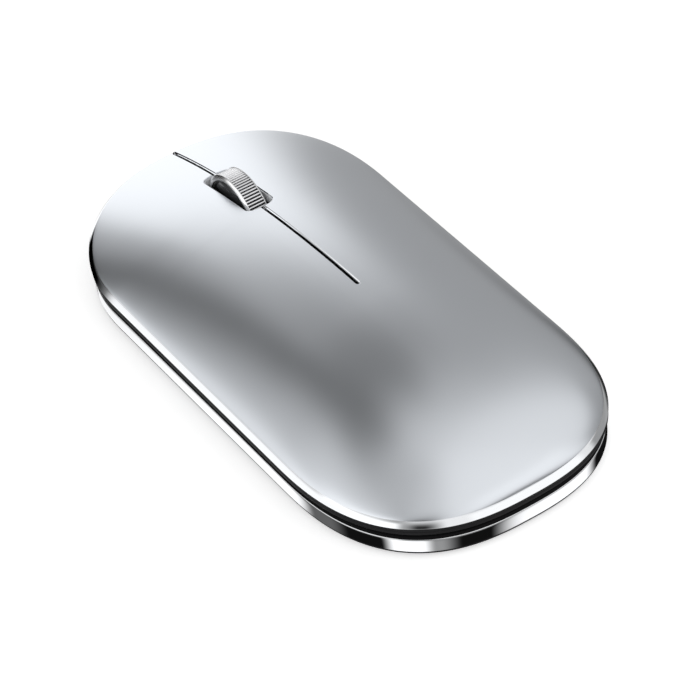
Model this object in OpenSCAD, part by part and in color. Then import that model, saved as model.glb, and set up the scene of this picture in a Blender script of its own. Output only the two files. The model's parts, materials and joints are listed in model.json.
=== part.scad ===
// Slim cordless computer mouse, built as an assembly of its real pieces.
// Frame: +Y is the front (wheel end), +X is the right-hand side, +Z is up.
// The origin is the centre of the footprint, on the plane that the glide feet rest on.

/* [Body] */
// Width of the body across its widest line
body_w = 57; // [54:0.5:60]
// Length of the body from front to back
body_l = 111.8; // [108:0.2:116]
// Height of the top of the palm above the table
crown_z = 20.8; // [20:0.1:22]
// How far behind the middle the highest line of the palm lies
crown_back = 12; // [8:1:20]
// Thickness of the glide feet
foot_h = 0.6; // [0.4:0.1:1]

/* [Edges] */
// Width of the polished edge of the top, seen from above
rim_w = 0.8; // [0.5:0.1:1.2]
// Height of the polished edge of the top
rim_h = 1.1; // [0.6:0.1:1.5]
// Height of the underside of the polished edge above the table
rim_z = 6.7; // [6.3:0.1:7.5]
// How much higher the edge lies at the very front than along the sides
front_lift = 3.4; // [2:0.1:4]
// Height of the black trim under the polished edge
trim_h = 1.4; // [1:0.1:1.6]
// Height of the top of the bright base ring above the table
ring_top = 4.1; // [3.6:0.1:4.2]

/* [Keys] */
// Width of the slit between the two keys
slit_w = 0.5; // [0.4:0.1:1]
// Where the slit ends and the keys flex, measured forward from the middle
hinge_y = -7.8; // [-10:0.2:-5]

/* [Wheel] */
// Outer radius of the ribbed wheel band
wheel_r = 8; // [7.6:0.1:8.2]
// Width of the wheel over both bright rims
wheel_w = 4.1; // [3.8:0.1:4.4]
// Distance of the wheel's axle in front of the middle
wheel_y = 31; // [30:0.1:32]
// Height of the wheel's axle above the table
wheel_z = 12.1; // [11.8:0.1:12.3]
// Number of ribs round the wheel
wheel_ribs = 86; // [60:1:110]
// Width of the slot round the wheel
slot_w = 5.6; // [5.2:0.1:6.2]
// Length of the slot round the wheel
slot_l = 16.6; // [16.2:0.1:17]
// Radius of the corners of the slot
slot_corner = 1.6; // [1:0.1:2]

/* [Hidden] */

// Footprint: straight sides closed by two superellipse caps
half_w = body_w / 2;
half_l = body_l / 2;
front_cap = 26.6;
rear_cap = 32.7;
front_power = 2.32;
rear_power = 2.56;
front_cap_y = half_l - front_cap;
rear_cap_y = half_l - rear_cap;

// Top shell
shell_t = 1.4;
shell_side_t = 1.3;
lift_y = 32;
edge_z = rim_z + rim_h;
crown_droop = 0.15;
rear_crown_power = 2.1;
rear_crown_root = 0.62;
swell_power = 2.2;
swell_root = 0.75;
columns = 10;
front_last_row = 89.4;
rear_last_row = 89.8;
key_gap = 0.1;

// Base
plate_t = 1.4;
plate_top = foot_h + plate_t;
ring_inset = 0.5;
ring_lip_inset = 0.75;
ring_lip_h = 0.5;
ring_inner = 2.2;
plate_inset = 2.3;
frame_inset = 1.75;
frame_t = 1.2;
frame_top = 5.9;
foot_inset = 5;
foot_w = 4;
foot_gap = 0.02;

// Circuit board
pcb_z = 3.6;
pcb_t = 1;
pcb_top = pcb_z + pcb_t;
pcb_front = 50;
pcb_back = -6;

// Screws
screw_r = 0.8;
screw_head_r = 1.6;
screw_inset = 7;
front_screw_turn = 52;
rear_screw_turn = 62;
pcb_screw_x = 19;
pcb_screw_y = 4;

// Key switches
switch_size = [5.8, 12.8, 5];
switch_x = 11.5;
switch_back = 28.5;
plunger_y = 33;
plunger_h = 0.6;
touch_gap = 0.05;
rib_size = [4, 3];
rib_top = 13.3;

// Wheel cradle and its hinge
rim_t = 0.45;
ear_x = 2.9;
ear_t = 1;
axle_r = 1;
axle_l = 14.6;
run_gap = 0.04;
pin_y = 16.5;
pin_z = 8;
pin_r = 0.8;
pin_l = 15;
post_x = 5.6;
post_t = 1.4;
encoder_t = 2.6;
click_x = -9.4;
click_y = 26;
click_size = [6, 3.6, 3.8];

// Underside controls
power_x = -13;
control_y = 12;
power_travel = 2;
mode_x = 13;
mode_r = 2.2;

// Receiver and its bay in the underside
bay_y = -45;
bay_size = [17, 20, 7];
bay_wall = 1;
receiver_size = [15.4, 6.6, 6];
plug_size = [12, 12, 4.5];

// Optical sensor
sensor_y = 4;

// Battery
battery_size = [36, 17, 5];
battery_y = -15.1;

function slope_power(y) = y > 0 ? front_power : rear_power;
function cap_len(y) = y > 0 ? front_cap : rear_cap;
function cap_start(y) = y > 0 ? front_cap_y : rear_cap_y;

// How far into its cap a line across the body lies, from 0 at the straight side to 1 at the tip
function into_cap(y, inset) = max(0, (abs(y) - cap_start(y)) / (cap_len(y) - inset));

// Half the footprint's width at a distance y from the middle, drawn in by inset
function width_at(y, inset) =
    (half_w - inset) * pow(max(0, 1 - pow(into_cap(y, inset), slope_power(y))), 1 / slope_power(y));

// Point on the footprint's right half: turn runs from -90 at the back to 90 at the front
function edge_point(turn, inset) =
    let (p = 2 / (turn > 0 ? front_power : rear_power))
    let (cap = (turn > 0 ? front_cap : rear_cap) - inset)
    let (start = turn > 0 ? front_cap_y : rear_cap_y)
    [(half_w - inset) * pow(cos(turn), p), sign(turn) * (start + cap * pow(abs(sin(turn)), p))];

// Outward direction of the footprint's right edge at y
function outward(y, inset) =
    let (n = slope_power(y) - 1)
    let (side = pow(width_at(y, inset) / (half_w - inset), n) / (half_w - inset))
    let (end = pow(into_cap(y, inset), n) / (cap_len(y) - inset) * sign(y))
    [side, end] / norm([side, end]);

// How much the edge line rises towards the front
function lift(y) = front_lift * pow(max(0, (y - lift_y) / (half_l - rim_w - lift_y)), 2);

// Height of the top along the middle line
function crown_line(y) =
    let (tip = half_l - rim_w)
    let (v = y > -crown_back
        ? (y + crown_back) / (tip + crown_back)
        : (-crown_back - y) / (tip - crown_back))
    y > -crown_back
        ? crown_z - (crown_z - edge_z - front_lift)
            * ((1 - crown_droop) * pow(v, 2) + crown_droop * pow(v, 4))
        : edge_z + (crown_z - edge_z) * pow(max(0, 1 - pow(v, rear_crown_power)), rear_crown_root);

// How full the top is across the body, from 1 in the middle to 0 at the edge
function swell(u) = pow(max(0, 1 - pow(min(1, abs(u)), swell_power)), swell_root);

function outer_z(x, y) =
    let (foot = edge_z + lift(y))
    foot + (crown_line(y) - foot) * swell(x / width_at(y, rim_w));

function inner_z(x, y) =
    let (foot = rim_z + lift(y))
    foot + (max(foot, crown_line(y) - shell_t) - foot) * swell(x / inner_w(y));

function inner_w(y) = max(0.2, width_at(y, rim_w) - shell_side_t);

// Half the width of the gap between the keys: the slit, widened round the wheel
function key_inner_x(y) =
    let (off = max(0, abs(y - slot_y) - (slot_l / 2 - slot_corner)))
    off > slot_corner + 0.01
        ? slit_w / 2
        : slot_w / 2 - slot_corner + sqrt(max(0, slot_corner * slot_corner - off * off));

// Polished edge, from the satin top round to its underside, on one side
function edge_profile(y, side) =
    let (w = width_at(y, rim_w))
    let (d = outward(y, rim_w))
    [
        for (s = [[0.55, 0.35], [0.9, 0.75], [1, 1]])
            let (y_out = y + rim_w * s[0] * d[1])
            [side * (w + rim_w * s[0] * d[0]), y_out, edge_z + lift(y_out) - rim_h * s[1]]
    ];

function column(i) = sin(90 * i / columns);

// Closed section of the right key at y: its outer skin, its edge, then its inner skin
function key_section(y) =
    let (x0 = key_inner_x(y))
    let (w = width_at(y, rim_w))
    let (wi = max(x0 + 0.2, inner_w(y)))
    concat(
        [for (i = [0:columns]) let (x = x0 + (w - x0) * column(i)) [x, y, outer_z(x, y)]],
        edge_profile(y, 1),
        [for (i = [columns:-1:0]) let (x = x0 + (wi - x0) * column(i)) [x, y, inner_z(x, y)]]
    );

// Closed section of the palm cover at y
function palm_section(y) =
    let (w = width_at(y, rim_w))
    let (wi = inner_w(y))
    concat(
        [for (i = [-columns:columns]) [w * column(i), y, outer_z(w * column(i), y)]],
        edge_profile(y, 1),
        [for (i = [columns:-1:-columns]) [wi * column(i), y, inner_z(wi * column(i), y)]],
        [for (k = [2:-1:0]) edge_profile(y, -1)[k]]
    );

// Lines across the body at which the sections are taken, always from back to front
slot_y = wheel_y + 0.4;
slot_back = slot_y - slot_l / 2;
slot_front = slot_y + slot_l / 2;
cap_first_turn = asin(pow((slot_front - front_cap_y) / (front_cap - rim_w), front_power / 2)) + 5;
key_rows = concat(
    [for (i = [0:6]) hinge_y + key_gap + (slot_back - 0.05 - hinge_y - key_gap) * i / 6],
    [for (i = [0:5]) slot_back + slot_corner * (1 - cos(90 * i / 5))],
    [for (i = [1:6]) slot_back + slot_corner + (slot_l - 2 * slot_corner) * i / 6],
    [for (i = [1:5]) slot_front - slot_corner + slot_corner * sin(90 * i / 5)],
    [slot_front + 0.05],
    [for (i = [0:12])
        edge_point(cap_first_turn + (front_last_row - cap_first_turn) * sin(90 * i / 12), rim_w)[1]]
);
palm_rows = concat(
    [for (i = [0:15]) edge_point(-rear_last_row * cos(88 * i / 15), rim_w)[1]],
    [for (i = [1:5]) -rear_cap_y + (rear_cap_y + hinge_y) * i / 5]
);

// Triangles that close the end of a section: quads between skins, then a fan over the polished edge
function strip(first, count, across) = [
    for (i = [first:first + count - 1])
        each [[i, i + 1, across - i - 1], [i, across - i - 1, across - i]]
];
function fan(first, ends) = [for (k = [1:3]) [first, (first + k) % ends, (first + k + 1) % ends]];
key_points = 2 * columns + 5;
palm_points = 4 * columns + 8;
key_ends = concat(strip(0, columns, key_points - 1), fan(columns, key_points));
palm_ends = concat(
    strip(0, 2 * columns, 4 * columns + 4),
    fan(2 * columns, palm_points),
    fan(4 * columns + 4, palm_points)
);

// Solid through a row of closed sections that all have the same number of points
module loft(sections, ends) {
    n = len(sections[0]);
    last = (len(sections) - 1) * n;
    sides = [
        for (row = [0:n:last - n]) for (i = [0:n - 1])
            let (j = (i + 1) % n)
            each [[row + i, row + n + i, row + n + j], [row + i, row + n + j, row + j]]
    ];
    polyhedron(
        points = [for (s = sections) each s],
        faces = concat(
            sides,
            [for (f = ends) f],
            [for (f = ends) [f[2] + last, f[1] + last, f[0] + last]]
        ),
        convexity = 8
    );
}

// Footprint drawn in by inset
module footprint(inset) {
    right = [for (t = [-90:3:90]) if (t != 0) edge_point(t, inset)];
    left = [for (i = [len(right) - 2:-1:1]) [-right[i][0], right[i][1]]];
    polygon(concat(right, left));
}

module ring_wall(outer, inner, low, high) {
    translate([0, 0, low]) linear_extrude(high - low) difference() {
        footprint(outer);
        footprint(inner);
    }
}

// Slab along X whose lower and upper edges both follow the lift of the edge line
module lifted_band(low, high, y_from, y_to) {
    steps = 24;
    ys = [for (i = [0:steps]) y_from + (y_to - y_from) * i / steps];
    rotate([90, 0, 90]) linear_extrude(body_w + 10, center = true)
        polygon(concat([for (y = ys) [y, low + lift(y)]],
            [for (i = [steps:-1:0]) [ys[i], high + lift(ys[i])]]));
}

module rod_x(r, l) {
    rotate([0, 90, 0]) cylinder(h = l, r = r, center = true, $fn = 48);
}

// Block centred in X and Y on a point, standing on z
module block(size, at) {
    translate([at[0] - size[0] / 2, at[1] - size[1] / 2, at[2]]) cube(size);
}

module both_sides() {
    children();
    mirror([1, 0, 0]) children();
}

// Point on the right-hand side under a glide foot, where a case screw goes
front_screw = edge_point(front_screw_turn, screw_inset);
rear_screw = edge_point(-rear_screw_turn, screw_inset);

module at_case_screws(z) {
    both_sides() for (p = [front_screw, rear_screw]) translate([p[0], p[1], z]) children();
}

module at_pcb_screws(z) {
    both_sides() translate([pcb_screw_x, pcb_screw_y, z]) children();
}

// ---- Top ----

module palm_cover() {
    color([0.78, 0.79, 0.81]) loft([for (y = palm_rows) palm_section(y)], palm_ends);
}

module right_button() {
    color([0.8, 0.81, 0.83]) loft([for (y = key_rows) key_section(y)], key_ends);
}

module left_button() {
    mirror([1, 0, 0]) right_button();
}

// Black trim that runs under the polished edge, fixed to the piece above it
module trim(y_from, y_to) {
    color([0.1, 0.1, 0.11]) intersection() {
        ring_wall(0.1, 1.3, rim_z - trim_h - 1, rim_z + front_lift + 2);
        lifted_band(rim_z - trim_h, rim_z - 0.03, y_from, y_to);
    }
}

module palm_trim() {
    trim(-half_l, hinge_y);
}

module right_trim() {
    intersection() {
        trim(hinge_y + key_gap, half_l + 1);
        translate([slit_w / 2, 0, 0]) cube([body_w, body_l, crown_z]);
    }
}

module left_trim() {
    mirror([1, 0, 0]) right_trim();
}

// Rib inside a key that pushes its switch
module right_press_rib() {
    low = pcb_top + switch_size[2] + plunger_h + touch_gap;
    color([0.12, 0.12, 0.13]) {
        block([rib_size[0], rib_size[1], rib_top - low], [switch_x, plunger_y, low]);
        block([1.2, 8, 2], [switch_x, plunger_y, rib_top - 2]);
    }
}

module left_press_rib() {
    mirror([1, 0, 0]) right_press_rib();
}

// ---- Base ----

module mid_frame() {
    boss_r = 2.3;
    color([0.07, 0.07, 0.08]) difference() {
        union() {
            intersection() {
                ring_wall(frame_inset, frame_inset + frame_t, plate_top, frame_top + front_lift);
                lifted_band(-10, frame_top, -half_l, half_l);
            }
            at_case_screws(plate_top) cylinder(h = frame_top - plate_top, r = boss_r, $fn = 48);
            intersection() {
                ring_wall(frame_inset + 0.2, screw_inset, plate_top, pcb_z - 0.2);
                for (p = [front_screw, rear_screw]) both_sides()
                    block([1.4, 12, frame_top], [p[0], p[1] + sign(p[1]) * 6, 0]);
            }
        }
        ring_wall(0, ring_inner + 0.05, 0, ring_top + 0.05);
        at_case_screws(plate_top - 1) cylinder(h = frame_top, r = screw_r, $fn = 48);
        translate([-4.7, pcb_front - 4, pcb_top - 0.2]) cube([9.4, 20, 3.7]);
    }
}

module base_ring() {
    color([0.85, 0.86, 0.88]) {
        ring_wall(ring_inset, ring_inner, foot_h, ring_top - ring_lip_h);
        ring_wall(ring_lip_inset, ring_inner, ring_top - ring_lip_h, ring_top);
    }
}

module bay_box(grow, low, high) {
    translate([-bay_size[0] / 2 - grow, bay_y - grow, low])
        cube([bay_size[0] + 2 * grow, bay_size[1] + 2 * grow, high - low]);
}

module bottom_plate() {
    bay_top = foot_h + bay_size[2];
    color([0.09, 0.09, 0.1]) difference() {
        union() {
            translate([0, 0, foot_h]) linear_extrude(plate_t) footprint(plate_inset);
            bay_box(bay_wall, plate_top - 0.5, bay_top + bay_wall);
            at_pcb_screws(plate_top - 0.5) cylinder(h = pcb_z - plate_top + 0.5, r = 2, $fn = 48);
        }
        bay_box(0, 0, bay_top);
        at_case_screws(0) cylinder(h = plate_top + 1, r = screw_r + 0.15, $fn = 48);
        at_case_screws(0) cylinder(h = foot_h + 0.8, r = screw_head_r + 0.1, $fn = 48);
        at_pcb_screws(plate_top - 1) cylinder(h = 4, r = screw_r, $fn = 48);
        block([9, 7, 4], [0, sensor_y, 0]);
        block([6, 3, 4], [power_x + power_travel / 2, control_y, 0]);
        translate([mode_x, control_y, 0]) cylinder(h = 4, r = mode_r + 0.15, $fn = 48);
    }
}

// Low-friction glide foot, cut from a band that follows the footprint
module glide_foot(low_y, high_y) {
    color([0.2, 0.2, 0.21]) linear_extrude(foot_h - foot_gap) intersection() {
        difference() {
            footprint(foot_inset);
            footprint(foot_inset + foot_w);
        }
        translate([-body_w, low_y]) square([2 * body_w, high_y - low_y]);
    }
}

module front_foot() {
    glide_foot(half_l - 20, half_l);
}

module rear_foot() {
    glide_foot(-half_l, -half_l + 16);
}

// ---- Circuit board and what is on it ----

module main_pcb() {
    well_w = 2 * (post_x + post_t) + 1;
    color([0.05, 0.3, 0.16]) difference() {
        translate([0, 0, pcb_z]) linear_extrude(pcb_t) intersection() {
            footprint(4.6);
            translate([-body_w / 2, pcb_back]) square([body_w, pcb_front - pcb_back]);
        }
        block([well_w, 29.5, 9], [0, pin_y + 11.2, 0]);
        translate([0, sensor_y, 0]) cylinder(h = 9, r = 2.6, $fn = 48);
        at_pcb_screws(0) cylinder(h = 9, r = screw_r + 0.15, $fn = 48);
        at_case_screws(0) cylinder(h = 9, r = 2.6, $fn = 48);
    }
}

module screw(length, head_r, head_h) {
    cylinder(h = head_h, r = head_r, $fn = 48);
    translate([0, 0, head_h]) cylinder(h = length, r = screw_r, $fn = 48);
}

module pcb_screws() {
    color([0.7, 0.7, 0.72]) at_pcb_screws(pcb_top + 0.62) mirror([0, 0, 1]) difference() {
        screw(2.4, 1.5, 0.6);
        for (a = [0, 90]) rotate(a) block([1.8, 0.4, 0.5], [0, 0, -0.1]);
    }
}

module case_screws() {
    color([0.65, 0.65, 0.67]) at_case_screws(foot_h + 0.05) difference() {
        screw(4.2, screw_head_r, 0.74);
        for (a = [0, 90]) rotate(a) block([1.8, 0.4, 0.55], [0, 0, -0.1]);
    }
}

module right_switch() {
    color([0.15, 0.15, 0.17]) difference() {
        translate([switch_x - switch_size[0] / 2, switch_back, pcb_top]) cube(switch_size);
        translate([switch_x, plunger_y, pcb_top + switch_size[2] - 1]) cylinder(h = 2, r = 1.05, $fn = 48);
    }
}

module left_switch() {
    mirror([1, 0, 0]) right_switch();
}

module right_plunger() {
    low = pcb_top + switch_size[2] - 0.55;
    color([0.85, 0.2, 0.15]) translate([switch_x, plunger_y, low])
        cylinder(h = 0.55 + plunger_h, r = 1, $fn = 48);
}

module left_plunger() {
    mirror([1, 0, 0]) right_plunger();
}

module middle_switch() {
    color([0.6, 0.6, 0.62]) difference() {
        block(click_size, [click_x, click_y, pcb_top]);
        translate([click_x, click_y, pcb_top + click_size[2] - 1]) cylinder(h = 2, r = 1.05, $fn = 48);
    }
}

module middle_plunger() {
    color([0.1, 0.1, 0.1]) translate([click_x, click_y, pcb_top + click_size[2] - 0.5])
        cylinder(h = 0.5 + plunger_h, r = 1, $fn = 48);
}

module sensor_chip() {
    color([0.1, 0.1, 0.1]) {
        block([9.6, 9, 2.2], [0, sensor_y, pcb_top + 0.1]);
        both_sides() for (i = [0:7]) block([1.4, 0.4, 0.3], [5.2, sensor_y - 3.5 + i, pcb_top]);
    }
}

module sensor_lens() {
    color([0.85, 0.9, 0.95]) {
        block([13, 11, 1], [0, sensor_y, plate_top + 0.1]);
        translate([0, sensor_y, foot_h + 0.5]) cylinder(h = plate_top - foot_h, r = 2.4, $fn = 48);
    }
}

module controller_chip() {
    chip_at = [-12, 17];
    color([0.12, 0.12, 0.12]) {
        block([6, 6, 0.9], [chip_at[0], chip_at[1], pcb_top + 0.1]);
        for (a = [0:90:270]) translate([chip_at[0], chip_at[1], pcb_top]) rotate(a)
            for (i = [-2:2]) block([0.3, 0.9, 0.2], [i, 3, 0]);
    }
}

module crystal() {
    color([0.75, 0.75, 0.7]) block([3.2, 2.5, 0.8], [-18.5, 17, pcb_top]);
}

module small_components() {
    color([0.7, 0.6, 0.45]) both_sides() for (i = [0:4])
        block([1, 0.5, 0.5], [9 + 2 * i, 9.5, pcb_top]);
    color([0.7, 0.6, 0.45]) for (i = [0:3]) block([0.5, 1, 0.5], [-17 + 2 * i, 22.5, pcb_top]);
}

module usb_c_port() {
    shell = [8.9, 7.4, 3.2];
    mouth_y = half_l - frame_inset - 0.1;
    color([0.75, 0.76, 0.78]) translate([0, mouth_y, pcb_top + 0.05 + shell[2] / 2]) rotate([90, 0, 0]) {
        difference() {
            capsule_bar(shell[0], shell[2], shell[1]);
            translate([0, 0, -1]) capsule_bar(shell[0] - 0.6, shell[2] - 0.6, shell[1] - 1);
        }
        translate([-3.3, -0.35, 0.9]) cube([6.6, 0.7, 6]);
    }
}

// Bar along Z whose ends are half rounds
module capsule_bar(w, h, l) {
    linear_extrude(l) union() {
        for (s = [-1, 1]) translate([s * (w - h) / 2, 0]) circle(r = h / 2, $fn = 48);
        square([w - h, h], center = true);
    }
}

// ---- Battery ----

module battery_tape() {
    color([0.9, 0.9, 0.9]) block([28, 13, 0.4], [0, battery_y, plate_top]);
}

module battery() {
    color([0.75, 0.75, 0.78]) {
        block(battery_size, [0, battery_y, plate_top + 0.42]);
        block([battery_size[0] - 10, 1.6, 2], [0, battery_y + battery_size[1] / 2 + 0.8, plate_top + 2.9]);
    }
}

module battery_connector() {
    color([0.95, 0.95, 0.9]) block([6, 3.4, 3.4], [16, pcb_back + 4.2, pcb_top]);
}

module battery_lead() {
    start = battery_y + battery_size[1] / 2;
    color([0.8, 0.1, 0.1]) for (x = [15, 17]) translate([x, start, pcb_top + 1.8]) rotate([-90, 0, 0])
        cylinder(h = pcb_back + 2.5 - start, r = 0.55, $fn = 24);
}

// ---- Wheel ----

module at_wheel() {
    translate([0, wheel_y, wheel_z]) children();
}

function rib_point(i) =
    let (a = 90 * i / wheel_ribs)
    let (r = i % 4 < 2 ? wheel_r : wheel_r - 0.25)
    [r * cos(a), r * sin(a)];

module wheel_band() {
    band_w = wheel_w - 2 * rim_t;
    color([0.82, 0.83, 0.85]) at_wheel() rotate([0, 90, 0]) difference() {
        linear_extrude(band_w, center = true) polygon([for (i = [0:4 * wheel_ribs - 1]) rib_point(i)]);
        cylinder(h = 20, r = wheel_r - 0.9, center = true, $fn = 96);
    }
}

module wheel_rims() {
    inner = wheel_r - 1.3;
    outer = wheel_r + 0.1;
    color([0.9, 0.9, 0.92]) at_wheel() both_sides() rotate([0, 90, 0])
        translate([0, 0, wheel_w / 2 - rim_t]) rotate_extrude($fn = 96)
            polygon([[inner, 0], [outer, 0], [outer, 0.1], [outer - 0.7, rim_t], [inner, rim_t]]);
}

module wheel_hub() {
    color([0.08, 0.08, 0.09]) at_wheel() rotate([0, 90, 0]) difference() {
        rotate_extrude($fn = 96) polygon([
            [axle_r, -2.2], [2.4, -2.2], [3.2, -0.9], [wheel_r - 2.4, -0.9], [wheel_r - 1.3, -1.6],
            [wheel_r - 0.9, -1.6], [wheel_r - 0.9, 1.6], [wheel_r - 1.3, 1.6], [wheel_r - 2.4, 0.9],
            [3.2, 0.9], [2.4, 2.2], [axle_r, 2.2]
        ]);
        for (a = [0:30:330]) rotate(a) translate([4.6, 0, 0]) cube([1.8, 1, 4], center = true);
    }
}

module wheel_axle() {
    color([0.7, 0.7, 0.72]) at_wheel() rod_x(axle_r, axle_l);
}

// Fork that carries the wheel and rocks on a pin behind it
module wheel_cradle() {
    arm_h = 5;
    fork_w = 2 * (ear_x + ear_t);
    color([0.2, 0.2, 0.22]) difference() {
        union() {
            both_sides() {
                translate([ear_x, wheel_y, wheel_z]) rotate([0, 90, 0])
                    cylinder(h = ear_t, r = 2.6, $fn = 48);
                translate([ear_x, pin_y, pin_z - 1.8]) cube([ear_t, wheel_y - pin_y, arm_h]);
            }
            translate([0, pin_y, pin_z]) rod_x(1.8, fork_w);
            block([fork_w, 2, arm_h], [0, pin_y + 2.2, pin_z - 1.8]);
            translate([click_x - 1.5, click_y - 1.5, click_tab_z()]) cube([-click_x + 1.5 - ear_x, 3, 1.2]);
        }
        translate([0, wheel_y, wheel_z]) rod_x(axle_r + run_gap, 20);
        translate([0, pin_y, pin_z]) rod_x(pin_r + run_gap, 20);
    }
}

// Underside of the tab that presses the middle switch
function click_tab_z() = pcb_top + click_size[2] + plunger_h + touch_gap;

module cradle_pin() {
    color([0.7, 0.7, 0.72]) translate([0, pin_y, pin_z]) rod_x(pin_r, pin_l);
}

module cradle_bracket() {
    color([0.15, 0.15, 0.16]) difference() {
        both_sides() {
            block([post_t, 5, pin_z + 1.8 - plate_top], [post_x + post_t / 2, pin_y, plate_top]);
            block([post_t, 9, 1], [post_x + post_t / 2, pin_y, plate_top]);
        }
        translate([0, pin_y, pin_z]) rod_x(pin_r, 30);
    }
}

module scroll_encoder() {
    color([0.25, 0.25, 0.28]) difference() {
        block([encoder_t, 8, 6.6], [ear_x + ear_t + 0.05 + encoder_t / 2, wheel_y, wheel_z - 4.6]);
        translate([0, wheel_y, wheel_z]) rod_x(axle_r + run_gap, 30);
    }
}

// Thin leaf that gives the wheel its clicks
module detent_spring() {
    color([0.75, 0.75, 0.7]) {
        block([1.6, 0.2, 6], [0, pin_y + 3.35, pin_z - 1.6]);
        block([1.6, 2.6, 0.2], [0, pin_y + 4.55, pin_z + 4.2]);
    }
}

// ---- Underside controls ----

module power_switch() {
    color([0.7, 0.7, 0.72])
        block([8.6, 3.8, pcb_z - plate_top - 0.15], [power_x + power_travel / 2, control_y, plate_top + 0.1]);
}

module power_knob() {
    color([0.3, 0.3, 0.32]) block([2.6, 2.4, plate_t - 0.2], [power_x - 0.3, control_y, foot_h + 0.25]);
}

module mode_switch() {
    color([0.7, 0.7, 0.72]) block([5, 5, 0.9], [mode_x, control_y, pcb_z - 0.95]);
}

module mode_button() {
    color([0.3, 0.3, 0.32]) translate([mode_x, control_y, foot_h + 0.2])
        cylinder(h = plate_t, r = mode_r, $fn = 48);
}

// ---- Receiver, stored in the underside ----

receiver_z = foot_h + 0.3;
receiver_back = bay_y + 0.6;

module receiver_body() {
    color([0.12, 0.12, 0.13])
        translate([-receiver_size[0] / 2, receiver_back, receiver_z]) cube(receiver_size);
}

module receiver_plug() {
    wall = 0.3;
    low = receiver_z + (receiver_size[2] - plug_size[2]) / 2;
    translate([0, receiver_back + receiver_size[1] + 0.02, low]) {
        color([0.8, 0.8, 0.82]) difference() {
            block(plug_size, [0, plug_size[1] / 2, 0]);
            translate([-plug_size[0] / 2 + wall, 0.6, wall])
                cube([plug_size[0] - 2 * wall, plug_size[1], plug_size[2] - 2 * wall]);
        }
        color([0.1, 0.1, 0.1]) translate([-plug_size[0] / 2 + wall, 0.6, wall])
            cube([plug_size[0] - 2 * wall, plug_size[1] - 0.9, 1.8]);
    }
}

palm_cover();
left_button();
right_button();
palm_trim();
left_trim();
right_trim();
left_press_rib();
right_press_rib();
mid_frame();
base_ring();
bottom_plate();
front_foot();
rear_foot();
main_pcb();
pcb_screws();
case_screws();
left_switch();
left_plunger();
right_switch();
right_plunger();
middle_switch();
middle_plunger();
wheel_band();
wheel_rims();
wheel_hub();
wheel_axle();
wheel_cradle();
cradle_pin();
cradle_bracket();
scroll_encoder();
detent_spring();
sensor_chip();
sensor_lens();
controller_chip();
crystal();
small_components();
usb_c_port();
battery();
battery_tape();
battery_lead();
battery_connector();
power_switch();
power_knob();
mode_switch();
mode_button();
receiver_body();
receiver_plug();
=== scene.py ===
import json
import math

import bmesh
import bpy
import numpy as np
from mathutils import Matrix, Vector


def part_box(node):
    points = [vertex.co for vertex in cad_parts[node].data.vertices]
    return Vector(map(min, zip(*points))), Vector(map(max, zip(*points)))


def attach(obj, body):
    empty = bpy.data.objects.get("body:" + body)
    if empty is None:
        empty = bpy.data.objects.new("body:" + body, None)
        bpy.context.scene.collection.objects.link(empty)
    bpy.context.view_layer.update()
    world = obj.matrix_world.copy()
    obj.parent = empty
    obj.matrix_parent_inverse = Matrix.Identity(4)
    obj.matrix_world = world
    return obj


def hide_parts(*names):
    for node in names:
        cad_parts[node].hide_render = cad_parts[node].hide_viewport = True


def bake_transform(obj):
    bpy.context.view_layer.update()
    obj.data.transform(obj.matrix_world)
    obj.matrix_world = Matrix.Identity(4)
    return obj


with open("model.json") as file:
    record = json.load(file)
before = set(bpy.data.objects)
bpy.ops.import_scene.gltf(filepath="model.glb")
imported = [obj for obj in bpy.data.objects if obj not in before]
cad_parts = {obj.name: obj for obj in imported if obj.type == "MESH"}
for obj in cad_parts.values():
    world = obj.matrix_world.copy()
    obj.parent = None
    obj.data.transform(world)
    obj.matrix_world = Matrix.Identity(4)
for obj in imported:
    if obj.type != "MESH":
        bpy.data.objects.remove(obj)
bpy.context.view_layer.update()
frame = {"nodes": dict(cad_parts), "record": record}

# The looks of a slim cordless mouse, in the frame of its CAD model: +Y is the front, +X the right side.

MM = 0.001

# ---- Measures in millimetres ----
# The outline, the edge's heights, the slit, the slot and the wheel are the same as in the CAD model. The
# dome's fall near its edge and the gap's lip are this model's own.

HALF_W, HALF_L = 28.5, 55.9             # half of the footprint's width and length
FRONT_CAP, REAR_CAP = 26.6, 32.7        # length of the footprint's rounded ends
FRONT_N, REAR_N = 2.32, 2.56            # how square those ends are (2 is an ellipse)
RIM_W, RIM_H = 0.8, 1.1                 # the polished edge, across and down
RIM_Z, EDGE_Z = 6.7, 7.8                # its lower and upper height, at the sides and back
FRONT_LIFT, LIFT_Y = 3.4, 32.0          # how far the edge rises at the front, and where that begins
CROWN_Z, CROWN_Y = 20.8, -12.0          # height and place of the highest point
DROOP = 0.15                            # how much of the crown's fall is left to the very front
REAR_POWER, REAR_ROOT = 2.1, 0.62       # fall of the crown towards the back
SWELL_POWER, SWELL_ROOT = 2.35, 0.88    # fall of the dome towards the sides
SEAM_Y, SLIT = -7.8, 0.25               # the slit's end, where the keys are hinged, and its half width
SLOT_W, SLOT_BACK, SLOT_FRONT = 2.8, 23.1, 39.7     # the wheel's slot: half width and both ends
SLOT_END, SLOT_N = 1.9, 2.7             # length and squareness of its rounded ends
LIP, LIP_ROUND = 0.2, 0.02              # width of the gap's bevelled lip, and how softly it begins
CHAMFER_BACK, CHAMFER_FRONT = 1.5, 1.95     # slope of that lip at the slit's end and at the wheel
SHELL, SIDE_WALL, GAP_WALL = 1.4, 1.3, 0.8  # the skin's thickness on top, at the sides and beside the gap
THIN = 0.02                             # least width that a closing row keeps
WHEEL_Y, WHEEL_Z = 31.0, 12.1           # the wheel's axle
WHEEL_R, WHEEL_W, BAND_W = 8.0, 4.1, 3.2    # its radius and width, and the width of its ribbed band
TIP = HALF_L - RIM_W
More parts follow.
